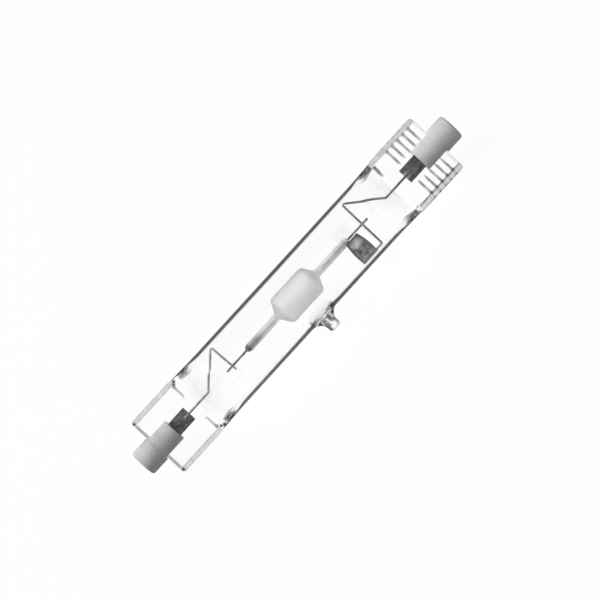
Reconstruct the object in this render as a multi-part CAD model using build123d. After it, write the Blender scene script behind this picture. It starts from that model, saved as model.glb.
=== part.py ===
from build123d import *

import os
from math import asin, atan2, cos, degrees, hypot, radians, sin

# A clear double-ended ceramic metal halide lamp with a recessed contact in each end cap. Millimetres.
# The lamp is drawn with its axis along X, its light centre at the origin, its pinches flat in the
# XY plane and its exhaust tip towards -Y. It is then rolled about X to lie on its tube and its tip.

# Whole lamp, from contact face to contact face
contact_distance = 132.0

# Outer bulb: tube and shoulders
tube_diameter = 21.0
tube_wall = 1.3
shoulder_length = 11.6
shoulder_sections = 9
cavity_reach = 0.9
cavity_draw = 1.2

# Outer bulb: pinches
pinch_length = 17.2
pinch_width = 22.0
pinch_thickness = 3.3
pinch_corner = 1.0
pinch_root = 1.2
shoulder_sink = 0.3
rail_width = 1.9
rail_thickness = 4.0
rail_round = 0.8
ridge_count = 6
ridge_pitch = 2.37
ridge_radius = 0.35
ridge_height = 0.3
ridge_end_margin = 0.75
ridge_cap_clearance = 0.2

# Outer bulb: exhaust tip
tip_offset = 0.8
tip_diameter = 3.9
tip_reach = 15.3
tip_flare = 2.2
tip_end_round = 1.0
tip_bore_diameter = 1.9
tip_bore_end_diameter = 1.4
tip_end_wall = 1.3

# End caps
cap_diameter = 9.0
tongue_diameter = 8.6
cap_length = 14.1
cap_exposed = 6.6
cap_round = 0.8
tongue_chamfer = 0.3
cement_thickness = 0.25
cement_end = 0.4
cement_setback = 0.5
recess_diameter = 4.6
recess_depth = 2.7
recess_chamfer = 0.3
contact_diameter = 4.0
contact_thickness = 0.8
contact_round = 0.2
contact_clearance = 0.05
shank_diameter = 2.2
shank_gap = 0.3
lead_end_gap = 0.2

# Foils and leads in the pinches
foil_length = 11.5
foil_width = 5.1
foil_thickness = 0.05
foil_setback = 2.6
foil_weld = 2.0
outer_lead_diameter = 0.7
seal_clearance = 0.02

# Frame wires
wire_diameter = 0.7
wire_bend = 0.5
wire_knee_bend = 1.2
wire_knee_gap = 4.6
wire_peak_gap = 0.5
wire_run_gap = 0.95
wire_leg_lean = 0.3
wire_left_tail = 1.5
weld_gap = 0.01

# Ceramic arc tube
arc_diameter = 10.0
arc_wall = 0.9
arc_cylinder = 13.2
arc_cone = 2.1
arc_round = 1.5
arc_root_round = 0.8
arc_inner_round = 0.7
arc_throat_round = 0.25
arc_tube_length = 43.0
capillary_diameter = 2.5
capillary_bore = 0.9

# Arc tube leads, seals and electrodes
niobium_diameter = 0.7
niobium_depth = 5.0
niobium_stub = 7.2
niobium_overhang = 2.5
frit_depth = 4.0
frit_bead_length = 1.1
frit_bead_diameter = 2.1
mandrel_diameter = 0.4
mandrel_length = 7.0
winding_diameter = 0.74
winding_margin = 0.6
electrode_diameter = 0.38
electrode_gap = 10.0
coil_diameter = 0.74
coil_turns = 8
coil_pitch = 0.22
coil_tip_margin = 0.5

# Getter on the right frame wire
getter_width = 5.8
getter_top_width = 4.8
getter_height = 8.1
getter_bow = 0.35
getter_thickness = 0.2
getter_offset = 5.4
getter_overlap = 0.45
getter_capillary_gap = 0.15
powder_margin = 0.45
powder_thickness = 0.12

# Fill that lies in the arc tube
pellet_diameter = 0.9
pellet_places = (-2.6, -1.2, 0.3)
mercury_diameter = 1.2
mercury_place = 2.4
fill_clearance = 0.02

# Places worked out from the sizes above
tube_radius = tube_diameter / 2
tube_bore_radius = tube_radius - tube_wall
contact_face = contact_distance / 2
lamp_end = contact_face + recess_depth
glass_end = lamp_end - cap_exposed
pinch_start = glass_end - pinch_length
tube_end = pinch_start - shoulder_length
cavity_end = tube_end + cavity_reach * shoulder_length
tip_radius = tip_diameter / 2

cap_radius = cap_diameter / 2
tongue_radius = tongue_diameter / 2
cap_start = lamp_end - cap_length
slot_end = glass_end + cement_end
slot_height = pinch_thickness + 2 * cement_thickness
contact_back = contact_face - contact_thickness

wire_radius = wire_diameter / 2
outer_lead_radius = outer_lead_diameter / 2
foil_outer_end = glass_end - foil_setback
foil_inner_end = foil_outer_end - foil_length
foil_level = -(wire_radius + foil_thickness / 2)
outer_lead_level = foil_level + foil_thickness / 2 + outer_lead_radius
lead_bore_radius = outer_lead_radius + abs(outer_lead_level) + contact_clearance
lead_end = contact_back - lead_end_gap

arc_radius = arc_diameter / 2
arc_bore_radius = arc_radius - arc_wall
capillary_radius = capillary_diameter / 2
capillary_bore_radius = capillary_bore / 2
capillary_end = arc_tube_length / 2
niobium_radius = niobium_diameter / 2
niobium_inner_end = capillary_end - niobium_depth
mandrel_inner_end = niobium_inner_end - mandrel_length
electrode_tip = electrode_gap / 2

wire_leg = capillary_end + niobium_stub
niobium_outer_end = wire_leg + niobium_overhang
wire_knee = cavity_end - wire_knee_gap
wire_peak = tube_bore_radius - wire_peak_gap
wire_run = -(tube_bore_radius - wire_run_gap)
wire_weld = foil_inner_end + foil_weld
cross_level = niobium_radius + wire_radius + weld_gap
getter_back = capillary_radius + getter_capillary_gap
run_level = getter_back - wire_radius - weld_gap
getter_centre = wire_leg - getter_offset
getter_bottom = wire_run - getter_overlap

# Roll at which the tip's rounded end and the tube touch the same flat surface
tip_ring_reach = tip_reach - tip_end_round
tip_ring_radius = tip_radius - tip_end_round
rest_roll = degrees(
    asin((tube_radius - tip_end_round) / hypot(tip_ring_reach, tip_ring_radius))
    - atan2(tip_ring_radius, tip_ring_reach)
)
rest_place = Rot(rest_roll, 0, 0)


def rod(radius, start, end, level=0.0):
    """A round bar along X, at a height along Z."""
    return Pos((start + end) / 2, 0, level) * Rot(0, 90, 0) * Cylinder(radius, end - start)


def block(start, end, width, height, level=0.0):
    """A bar of rectangular section along X."""
    return Pos((start + end) / 2, 0, level) * Box(end - start, width, height)


def sleeve(outer_radius, inner_radius, start, end):
    """A round tube along X."""
    return rod(outer_radius, start, end) - rod(inner_radius, start, end)


def turned(*edges):
    """A solid of revolution about X, from the edges of its half section."""
    return revolve(make_face(edges), axis=Axis.X)


def bent_wire(points, bends):
    """A round wire along a path of straight runs and bends."""
    path = FilletPolyline(*points, radius=bends)
    section = Plane(origin=path @ 0, z_dir=path % 0) * Circle(wire_radius)
    return sweep(section, path=path)


def other_end(part):
    """The same piece at the lamp's left end."""
    return mirror(part, about=Plane.YZ)


# Outer bulb
def shoulder(wall, end_half_width, reach):
    """The right end of the tube, drawn from round to flat, inside a given wall."""
    start_radius = tube_radius - wall
    end_half_height = pinch_thickness / 2 - shoulder_sink - wall
    sections = []
    for step in range(shoulder_sections):
        share = reach * step / (shoulder_sections - 1)
        drawn = share * share * (3 - 2 * share)
        half_width = start_radius + (end_half_width - start_radius) * drawn
        half_height = start_radius + (end_half_height - start_radius) * drawn
        place = Plane.YZ.offset(tube_end + share * shoulder_length)
        sections.append(place * Ellipse(half_width, half_height))
    return loft(sections)


def pinch():
    """The flat right end: a slab with thicker rounded side rails and cross ridges beside the cap."""
    start = pinch_start - pinch_root
    length = glass_end - start
    rail_place = (pinch_width - rail_width) / 2
    section = Rectangle(pinch_width - rail_width, pinch_thickness)
    for side in (-1, 1):
        section += Pos(side * rail_place, 0) * RectangleRounded(rail_width, rail_thickness, rail_round)
    slab = extrude(Plane.YZ.offset(start) * section, length)
    plan = Pos(start + length / 2, 0) * RectangleRounded(length, pinch_width, pinch_corner)
    slab = slab & extrude(plan, rail_thickness, both=True)

    ridge_inner = tongue_radius + ridge_cap_clearance
    ridge_outer = rail_place
    ridge = Rot(90, 0, 0) * Cylinder(ridge_radius, ridge_outer - ridge_inner)
    ridge_middle = (ridge_inner + ridge_outer) / 2
    ridge_level = pinch_thickness / 2 + ridge_height - ridge_radius
    ridges = []
    for number in range(ridge_count):
        place = glass_end - ridge_end_margin - number * ridge_pitch
        for side in (-1, 1):
            for face in (-1, 1):
                ridges.append(Pos(place, side * ridge_middle, face * ridge_level) * ridge)
    return slab + ridges


def tube_with_tip():
    """The straight outer tube with the sealed exhaust stub on its side."""
    tube = rod(tube_radius, -tube_end, tube_end)
    tip_start = tube_radius - tube_wall / 2
    tip_middle = (tip_start + tip_reach) / 2
    tip = Pos(tip_offset, -tip_middle, 0) * Rot(90, 0, 0) * Cylinder(tip_radius, tip_reach - tip_start)
    body = tube + tip
    foot_edges = body.edges().filter_by(GeomType.CIRCLE, reverse=True).filter_by(GeomType.LINE, reverse=True)
    body = fillet(foot_edges, tip_flare)
    end_edge = body.edges().filter_by(GeomType.CIRCLE).sort_by(Axis.Y)[0]
    return fillet(end_edge, tip_end_round)


def tip_bore():
    """The narrowing bore of the exhaust stub, with a round closed end."""
    mouth = tube_bore_radius - tube_wall
    end_radius = tip_bore_end_diameter / 2
    closed = tip_reach - tip_end_wall - end_radius
    middle = -(mouth + closed) / 2
    taper = Rot(90, 0, 0) * Cone(tip_bore_diameter / 2, end_radius, closed - mouth)
    return Pos(tip_offset, middle, 0) * taper + Pos(tip_offset, -closed, 0) * Sphere(end_radius)


def seal_pockets():
    """Room in the right pinch for the foil, the frame wire and the outer lead."""
    gap = seal_clearance
    foil = block(
        foil_inner_end - gap, foil_outer_end + gap, foil_width + 2 * gap, foil_thickness + 2 * gap, foil_level
    )
    wire = rod(wire_radius + gap, cavity_end - tube_wall, wire_weld + gap)
    lead = rod(outer_lead_radius + gap, foil_outer_end - foil_weld - gap, glass_end + gap, outer_lead_level)
    wire_seat = block(foil_inner_end, wire_weld + gap, wire_radius, wire_radius, -wire_radius / 2)
    lead_seat = block(
        foil_outer_end - foil_weld - gap,
        foil_outer_end,
        outer_lead_radius,
        outer_lead_radius,
        outer_lead_level - outer_lead_radius / 2,
    )
    return foil + [wire, lead, wire_seat, lead_seat]


def outer_bulb():
    outer_shoulder = shoulder(0, pinch_width / 2 - shoulder_sink, 1)
    end = outer_shoulder + pinch()
    bulb = tube_with_tip() + [end, other_end(end)]
    inner_shoulder = shoulder(tube_wall, tube_bore_radius - cavity_draw, cavity_reach)
    cavity = rod(tube_bore_radius, -tube_end, tube_end) + [inner_shoulder, other_end(inner_shoulder)]
    pockets = seal_pockets()
    return bulb - cavity - tip_bore() - pockets - other_end(pockets)


# End caps
def cap_insulator():
    """Ceramic cap: a round head with a contact recess, and two tongues that hold the pinch between them."""
    head = rod(cap_radius, glass_end, lamp_end)
    head = fillet(head.edges().filter_by(GeomType.CIRCLE).sort_by(Axis.X)[-1], cap_round)
    tongues = rod(tongue_radius, cap_start, glass_end)
    tongues = chamfer(tongues.edges().filter_by(GeomType.CIRCLE).sort_by(Axis.X)[0], tongue_chamfer)
    slot = block(cap_start, slot_end, pinch_width, slot_height)
    recess_radius = recess_diameter / 2
    recess = rod(recess_radius, contact_face, lamp_end)
    mouth_middle = lamp_end - recess_chamfer / 2
    mouth = Rot(0, 90, 0) * Cone(recess_radius, recess_radius + recess_chamfer, recess_chamfer)
    seat = rod(contact_diameter / 2 + contact_clearance, contact_back, contact_face)
    shank_hole = rod(shank_diameter / 2 + contact_clearance, slot_end, contact_back)
    return head + tongues - [slot, recess, Pos(mouth_middle, 0, 0) * mouth, seat, shank_hole]


def cap_contact():
    """Recessed metal contact with a hollow shank that takes the outer lead."""
    head = rod(contact_diameter / 2, contact_back, contact_face)
    head = fillet(head.edges().filter_by(GeomType.CIRCLE).sort_by(Axis.X)[-1], contact_round)
    shank = rod(shank_diameter / 2, slot_end + shank_gap, contact_back)
    return head + shank - rod(lead_bore_radius, slot_end + shank_gap, contact_back)


def cap_cement():
    """Cement between the cap's slot and the pinch, on both faces and behind the glass end."""
    fill = block(cap_start + cement_setback, slot_end, cap_diameter, slot_height)
    fill = fill & rod(tongue_radius - cement_setback, cap_start, slot_end)
    fill -= block(cap_start, glass_end, pinch_width, pinch_thickness)
    return fill - rod(outer_lead_radius + seal_clearance, glass_end, slot_end, outer_lead_level)


# Foils and leads
def sealing_foil():
    return block(foil_inner_end, foil_outer_end, foil_width, foil_thickness, foil_level)


def outer_lead():
    return rod(outer_lead_radius, foil_outer_end - foil_weld, lead_end, outer_lead_level)


def frame_wire_right():
    """From the foil up to the tube wall, down past the niobium lead and back under the getter."""
    peak_share = wire_peak / (wire_peak - wire_run)
    peak_level = (cross_level - peak_share * run_level) / (1 - peak_share)
    points = (
        (wire_weld, 0, 0),
        (wire_knee, 0, 0),
        (wire_leg + wire_leg_lean, wire_peak, peak_level),
        (wire_leg, wire_run, run_level),
        (getter_centre - getter_width / 2, wire_run, run_level),
    )
    return bent_wire(points, (wire_knee_bend, wire_bend, wire_bend))


def frame_wire_left():
    """From the foil up to the tube wall and down past the niobium lead."""
    points = (
        (-wire_weld, 0, 0),
        (-wire_knee, 0, 0),
        (-(wire_leg + wire_leg_lean), wire_peak, cross_level),
        (-wire_leg, -wire_left_tail, cross_level),
    )
    return bent_wire(points, (wire_bend, wire_bend))


# Arc tube and what it holds
def arc_tube():
    """A hollow body with cone ends and a capillary leg at each end."""
    cone_slope = arc_cone / (arc_radius - capillary_radius)
    wall_shift = arc_wall * hypot(1, cone_slope)
    outer_corner = arc_cylinder / 2
    inner_corner = outer_corner + arc_wall * cone_slope - wall_shift
    throat = outer_corner + (arc_radius - capillary_bore_radius) * cone_slope - wall_shift
    root = outer_corner + arc_cone
    outside = FilletPolyline(
        (-capillary_end, capillary_radius),
        (-root, capillary_radius),
        (-outer_corner, arc_radius),
        (outer_corner, arc_radius),
        (root, capillary_radius),
        (capillary_end, capillary_radius),
        radius=(arc_root_round, arc_round, arc_round, arc_root_round),
    )
    inside = FilletPolyline(
        (-capillary_end, capillary_bore_radius),
        (-throat, capillary_bore_radius),
        (-inner_corner, arc_bore_radius),
        (inner_corner, arc_bore_radius),
        (throat, capillary_bore_radius),
        (capillary_end, capillary_bore_radius),
        radius=(arc_throat_round, arc_inner_round, arc_inner_round, arc_throat_round),
    )
    left_rim = Line(outside @ 0, inside @ 0)
    right_rim = Line(outside @ 1, inside @ 1)
    return turned(*outside.edges(), *inside.edges(), left_rim, right_rim)


def niobium_lead():
    return rod(niobium_radius, niobium_inner_end, niobium_outer_end)


def frit_seal():
    """Sealing glass in the end of a capillary, with a bead outside it."""
    bead_radius = frit_bead_diameter / 2
    bead_end = capillary_end + frit_bead_length
    bead_middle = (
        capillary_end + frit_bead_length * cos(radians(45)),
        niobium_radius + (bead_radius - niobium_radius) * sin(radians(45)),
    )
    inner_end = capillary_end - frit_depth
    corners = (
        (bead_end, niobium_radius),
        (inner_end, niobium_radius),
        (inner_end, capillary_bore_radius),
        (capillary_end, capillary_bore_radius),
        (capillary_end, bead_radius),
    )
    bead = ThreePointArc(corners[-1], bead_middle, corners[0])
    return turned(*Polyline(*corners).edges(), bead)


def lead_mandrel():
    return rod(mandrel_diameter / 2, mandrel_inner_end, niobium_inner_end)


def mandrel_winding():
    """The close turns of fine wire on the mandrel, as one sleeve."""
    start = mandrel_inner_end + winding_margin
    end = niobium_inner_end - winding_margin
    return sleeve(winding_diameter / 2, mandrel_diameter / 2 + weld_gap, start, end)


def electrode_rod():
    return rod(electrode_diameter / 2, electrode_tip, mandrel_inner_end)


def electrode_coil():
    """The turns near the electrode's tip, as one ribbed sleeve."""
    start = electrode_tip + coil_tip_margin
    inner_radius = electrode_diameter / 2 + weld_gap
    crest_radius = coil_diameter / 2
    root_radius = (crest_radius + inner_radius) / 2
    ribs = []
    for turn in range(coil_turns):
        left = start + turn * coil_pitch
        ribs.append(
            ThreePointArc(
                (left, root_radius), (left + coil_pitch / 2, crest_radius), (left + coil_pitch, root_radius)
            )
        )
    end = start + coil_turns * coil_pitch
    base = Polyline((start, root_radius), (start, inner_radius), (end, inner_radius), (end, root_radius))
    return turned(*ribs, *base.edges())


# Getter
def getter_outline(margin):
    """The plate's outline in XY: a narrower top and slightly bowed sides."""
    bottom = getter_bottom + margin
    top = getter_bottom + getter_height - margin
    half_bottom = getter_width / 2 - margin
    half_top = getter_top_width / 2 - margin
    half_middle = (half_bottom + half_top) / 2 + getter_bow
    middle = (bottom + top) / 2
    centre = getter_centre
    edges = [Line((centre - half_bottom, bottom), (centre + half_bottom, bottom))]
    edges.append(Line((centre - half_top, top), (centre + half_top, top)))
    for side in (-1, 1):
        edges.append(
            ThreePointArc(
                (centre + side * half_bottom, bottom),
                (centre + side * half_middle, middle),
                (centre + side * half_top, top),
            )
        )
    return make_face(edges)


def getter_strip():
    return extrude(Pos(0, 0, getter_back) * getter_outline(0), getter_thickness)


def getter_powder():
    front = getter_back + getter_thickness
    return extrude(Pos(0, 0, front) * getter_outline(powder_margin), powder_thickness)


# Fill
def lying_ball(diameter, place):
    """A small ball on the lowest line of the arc tube's inner wall, as the lamp lies."""
    drop = arc_bore_radius - diameter / 2 - fill_clearance
    low_side = radians(rest_roll)
    return Pos(place, -drop * sin(low_side), -drop * cos(low_side)) * Sphere(diameter / 2)


def halide_pellets():
    return Compound([lying_ball(pellet_diameter, place) for place in pellet_places])


def mercury_bead():
    return lying_ball(mercury_diameter, mercury_place)


paired_pieces = {
    "cap_insulator": cap_insulator,
    "cap_contact": cap_contact,
    "cap_cement": cap_cement,
    "outer_lead": outer_lead,
    "sealing_foil": sealing_foil,
    "niobium_lead": niobium_lead,
    "frit_seal": frit_seal,
    "lead_mandrel": lead_mandrel,
    "mandrel_winding": mandrel_winding,
    "electrode_rod": electrode_rod,
    "electrode_coil": electrode_coil,
}

pieces = {
    "outer_bulb": outer_bulb(),
    "arc_tube": arc_tube(),
    "frame_wire_left": frame_wire_left(),
    "frame_wire_right": frame_wire_right(),
    "getter_strip": getter_strip(),
    "getter_powder": getter_powder(),
    "halide_pellets": halide_pellets(),
    "mercury_bead": mercury_bead(),
}
for name, make_piece in paired_pieces.items():
    right_piece = make_piece()
    pieces[name + "_right"] = right_piece
    pieces[name + "_left"] = other_end(right_piece)

os.makedirs("parts", exist_ok=True)
for name, piece in pieces.items():
    export_step(rest_place * piece, f"parts/{name}.step")
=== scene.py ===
from math import asin, atan2, cos, hypot, pi, radians, sin, sqrt

import bmesh
import bpy
from mathutils import Matrix, Vector, noise


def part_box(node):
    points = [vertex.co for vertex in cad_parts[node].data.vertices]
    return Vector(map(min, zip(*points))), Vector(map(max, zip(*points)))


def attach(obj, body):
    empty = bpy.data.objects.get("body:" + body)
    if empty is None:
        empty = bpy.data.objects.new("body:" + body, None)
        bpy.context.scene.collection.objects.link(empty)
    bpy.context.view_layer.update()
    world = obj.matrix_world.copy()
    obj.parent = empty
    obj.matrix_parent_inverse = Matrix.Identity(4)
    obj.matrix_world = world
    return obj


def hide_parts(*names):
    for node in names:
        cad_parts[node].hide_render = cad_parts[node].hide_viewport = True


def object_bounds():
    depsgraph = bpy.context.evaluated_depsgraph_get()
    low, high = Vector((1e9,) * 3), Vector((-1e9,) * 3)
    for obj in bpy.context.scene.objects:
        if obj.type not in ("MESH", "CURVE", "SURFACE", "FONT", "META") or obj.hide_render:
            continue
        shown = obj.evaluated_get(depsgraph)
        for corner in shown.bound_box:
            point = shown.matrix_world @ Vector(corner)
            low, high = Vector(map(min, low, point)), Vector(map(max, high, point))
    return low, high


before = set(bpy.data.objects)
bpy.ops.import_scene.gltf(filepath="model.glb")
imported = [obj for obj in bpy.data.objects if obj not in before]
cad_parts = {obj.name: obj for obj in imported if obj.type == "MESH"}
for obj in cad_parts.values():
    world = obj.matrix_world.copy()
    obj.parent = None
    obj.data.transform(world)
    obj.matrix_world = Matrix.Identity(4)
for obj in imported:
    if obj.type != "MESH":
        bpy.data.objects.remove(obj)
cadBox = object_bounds()
mm = 0.001

# places that the frame gives, along the lamp from its light centre
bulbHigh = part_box("outer_bulb")[1]
capLow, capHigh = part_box("cap_insulator_right")
foilLow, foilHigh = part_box("sealing_foil_right")
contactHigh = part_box("cap_contact_right")[1]
getterLow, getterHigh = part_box("getter_strip")
floorLevel = cadBox[0][2]
tubeRadius = bulbHigh[2]
glassEnd = bulbHigh[0]
capStart = capLow[0]
lampEnd = capHigh[0]
contactFace = contactHigh[0]

tip = {
    "offset": 0.8 * mm,  # along the lamp
    "radius": 1.95 * mm,
    "reach": 15.3 * mm,  # from the lamp's axis
    "flare": 3.3 * mm,
    "endRound": 1.0 * mm,
    "boreRadius": 0.95 * mm,
    "boreEndRadius": 0.7 * mm,
    "boreMouth": 1.35 * mm,
    "endWall": 1.3 * mm,
    "halfPatch": 5.8 * mm,  # tube wall that the foot grows from
    "halfBorePatch": 1.9 * mm,
    "flareSteps": 7,  # rings along the flare, round the end and round the bore's end
    "endSteps": 5,
    "boreEndSteps": 5,
}

# the lamp lies on its tube and on the rounded end of its tip, so its pinches are turned by this much
tipRing = tip["radius"] - tip["endRound"]
tipRingReach = tip["reach"] - tip["endRound"]
restLift = (tubeRadius - tip["endRound"]) / hypot(tipRingReach, tipRing)
lampRoll = asin(restLift) - atan2(tipRing, tipRingReach)
lampTurn = Matrix.Rotation(lampRoll, 3, "X")


# selecting and placing
def clearSelection():
    if bpy.context.object and bpy.context.object.mode != "OBJECT":
        bpy.ops.object.mode_set(mode="OBJECT")
    bpy.ops.object.select_all(action="DESELECT")


def takeUp(piece):
    clearSelection()
    piece.select_set(True)
    bpy.context.view_layer.objects.active = piece


def newPiece(name):
    piece = bpy.context.active_object
    piece.name = name
    piece.data.name = name
    takeUp(piece)
    bpy.ops.object.transform_apply(location=True, rotation=True, scale=True)
    return piece


def openMesh(piece, mode):
    takeUp(piece)
    bpy.ops.object.mode_set(mode="EDIT")
    bpy.ops.mesh.select_mode(type=mode)
    bpy.ops.mesh.select_all(action="DESELECT")
    return bmesh.from_edit_mesh(piece.data)


def pick(piece, mode, test):
    # selects the faces or edges that pass a test
    cage = openMesh(piece, mode)
    for part in cage.faces if mode == "FACE" else cage.edges:
        part.select_set(test(part))
    bmesh.update_edit_mesh(piece.data)


def pushFaces(x=0.0, z=0.0):
    bpy.ops.mesh.extrude_region_move(TRANSFORM_OT_translate={"value": (x, 0, z)})


def closeMesh():
    bpy.ops.object.mode_set(mode="OBJECT")


def openWhole(piece):
    openMesh(piece, "FACE")
    bpy.ops.mesh.select_all(action="SELECT")


def faceOutwards(piece):
    openWhole(piece)
    bpy.ops.mesh.normals_make_consistent(inside=False)
    closeMesh()


def newGrid(name, columns, rows):
    # a flat grid from -1 to 1
    clearSelection()
    bpy.ops.mesh.primitive_grid_add(x_subdivisions=columns, y_subdivisions=rows, size=2)
    return newPiece(name)


def newPlate(name, columns, rows):
    # that grid as a closed plate, from 0 to 1 in height
    piece = newGrid(name, columns, rows)
    openWhole(piece)
    pushFaces(z=1.0)
    closeMesh()
    return piece


def useModifier(piece, kind, settings):
    takeUp(piece)
    modifier = piece.modifiers.new(kind.lower(), kind)
    for name, value in settings.items():
        setattr(modifier, name, value)
    bpy.ops.object.modifier_apply(modifier=modifier.name)


def softShade(piece, degreesSplit):
    takeUp(piece)
    bpy.ops.object.shade_smooth_by_angle(angle=radians(degreesSplit))


def otherEnd(piece, name):
    # the same piece at the left end, turned half round
    takeUp(piece)
    bpy.ops.object.duplicate()
    twin = bpy.context.active_object
    twin.rotation_euler = (0, 0, pi)
    return newPiece(name)


def seatPiece(piece, slotName, finish, *nodes):
    # turns a piece from the lamp's own frame to how the lamp lies
    takeUp(piece)
    piece.rotation_euler = (lampRoll, 0, 0)
    bpy.ops.object.transform_apply(location=True, rotation=True, scale=True)
    if finish:
        piece.data.materials.clear()
        piece.data.materials.append(finish)
    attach(piece, "root")
    if nodes:
        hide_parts(*nodes)


def ease(share):
    share = min(max(share, 0.0), 1.0)
    return share * share * (3 - 2 * share)


# shader sums
def mathOf(operation):
    return lambda first, second: first.math(operation, first, second)


class Field:
    # a socket in a node tree: sums on it add Math nodes
    __add__ = __radd__ = mathOf("ADD")
    __sub__ = mathOf("SUBTRACT")
    __mul__ = __rmul__ = mathOf("MULTIPLY")
    __truediv__ = mathOf("DIVIDE")
    __pow__ = mathOf("POWER")
    most = mathOf("MAXIMUM")

    def __init__(self, tree, socket):
        self.tree = tree
        self.socket = socket

    def __rsub__(self, other):
        return self.math("SUBTRACT", other, self)

    def node(self, kind, inputs=None, output=0, **settings):
        made = self.tree.nodes.new(kind)
        for name, value in settings.items():
            if name == "stops":
                self.setStops(made.color_ramp, value)
            else:
                setattr(made, name, value)
        for name, value in (inputs or {}).items():
            if isinstance(value, Field):
                self.tree.links.new(value.socket, made.inputs[name])
            else:
                made.inputs[name].default_value = value
        return Field(self.tree, made.outputs[output])

    def setStops(self, ramp, stops):
        while len(ramp.elements) < len(stops):
            ramp.elements.new(1.0)
        for element, (position, level) in zip(ramp.elements, stops):
            element.position = position
            element.color = (*grey(level), 1)

    def math(self, operation, first, second=0.0):
        return self.node("ShaderNodeMath", {0: first, 1: second}, operation=operation)

    def vectorMath(self, operation, first, second=(0, 0, 0), output=0):
        return self.node("ShaderNodeVectorMath", {0: first, 1: second}, output, operation=operation)

    def mixShader(self, share, first, second):
        return self.node("ShaderNodeMixShader", {0: share, 1: first, 2: second})

    def size(self):
        return self.math("ABSOLUTE", self)

    def between(self, low, high):
        # 0 below low, 1 above high, smooth between
        inputs = {"Value": self, "From Min": low, "From Max": high}
        return self.node("ShaderNodeMapRange", inputs, interpolation_type="SMOOTHSTEP")

    def ramp(self, *stops):
        return self.node("ShaderNodeValToRGB", {"Fac": self}, stops=stops)

    def tint(self, low, high):
        # from one colour or grey level to another as this goes from 0 to 1
        colours = {0: self}
        for socket, colour in ((6, low), (7, high)):
            if isinstance(colour, float):
                colour = grey(colour)
            colours[socket] = colour if isinstance(colour, Field) else (*colour, 1)
        return self.node("ShaderNodeMix", colours, 2, data_type="RGBA")

    def grain(self, scale, detail=3.0, roughness=0.55):
        inputs = {"Vector": self, "Scale": scale, "Detail": detail, "Roughness": roughness}
        return self.node("ShaderNodeTexNoise", inputs)

    def stretch(self, x=1.0, y=1.0, z=1.0):
        return self.node("ShaderNodeMapping", {"Vector": self, "Scale": (x, y, z)})

    def axis(self, name):
        return self.node("ShaderNodeSeparateXYZ", {"Vector": self}, name)

    def bump(self, strength, depth):
        # depth in millimetres
        return self.node("ShaderNodeBump", {"Height": self, "Strength": strength, "Distance": depth * mm})


class Finish(Field):
    # a material, with a place in lamp millimetres: x along the lamp, y across the pinch, z through it
    def __init__(self, name, **sockets):
        self.material = bpy.data.materials.new(name)
        self.material.use_nodes = True
        tree = self.material.node_tree
        self.shader = tree.nodes["Principled BSDF"]
        super().__init__(tree, self.shader.outputs[0])
        for socket, value in sockets.items():
            self.shader.inputs[socket.replace("_", " ")].default_value = value
        objectPlace = self.node("ShaderNodeTexCoord", output="Object")
        perMm = 1 / mm
        turned = {"Vector": objectPlace, "Rotation": (-lampRoll, 0, 0), "Scale": (perMm, perMm, perMm)}
        self.place = self.node("ShaderNodeMapping", turned)

    def feed(self, **fields):
        for socket, field in fields.items():
            self.tree.links.new(field.socket, self.shader.inputs[socket.replace("_", " ")])
        return self.material

    def onRight(self):
        # 0 on the lamp's left half, 1 on its right
        return self.place.axis("X").between(-1.0, 1.0)

    def show(self, shader, part="Surface"):
        self.tree.links.new(shader.socket, self.tree.nodes["Material Output"].inputs[part])
        return self.material


def grey(level):
    return (level, level, level)


def mottled(name, grain, tones, relief, roughness=None, **sockets):
    # tone, relief and perhaps roughness follow one grain
    finish = Finish(name, **sockets)
    cloud = finish.place.grain(*grain)
    if roughness:
        smoothest, rougher = roughness
        finish.feed(Roughness=smoothest + cloud * rougher)
    return finish.feed(Base_Color=cloud.between(0.3, 0.7).tint(*tones), Normal=cloud.bump(*relief))


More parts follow.
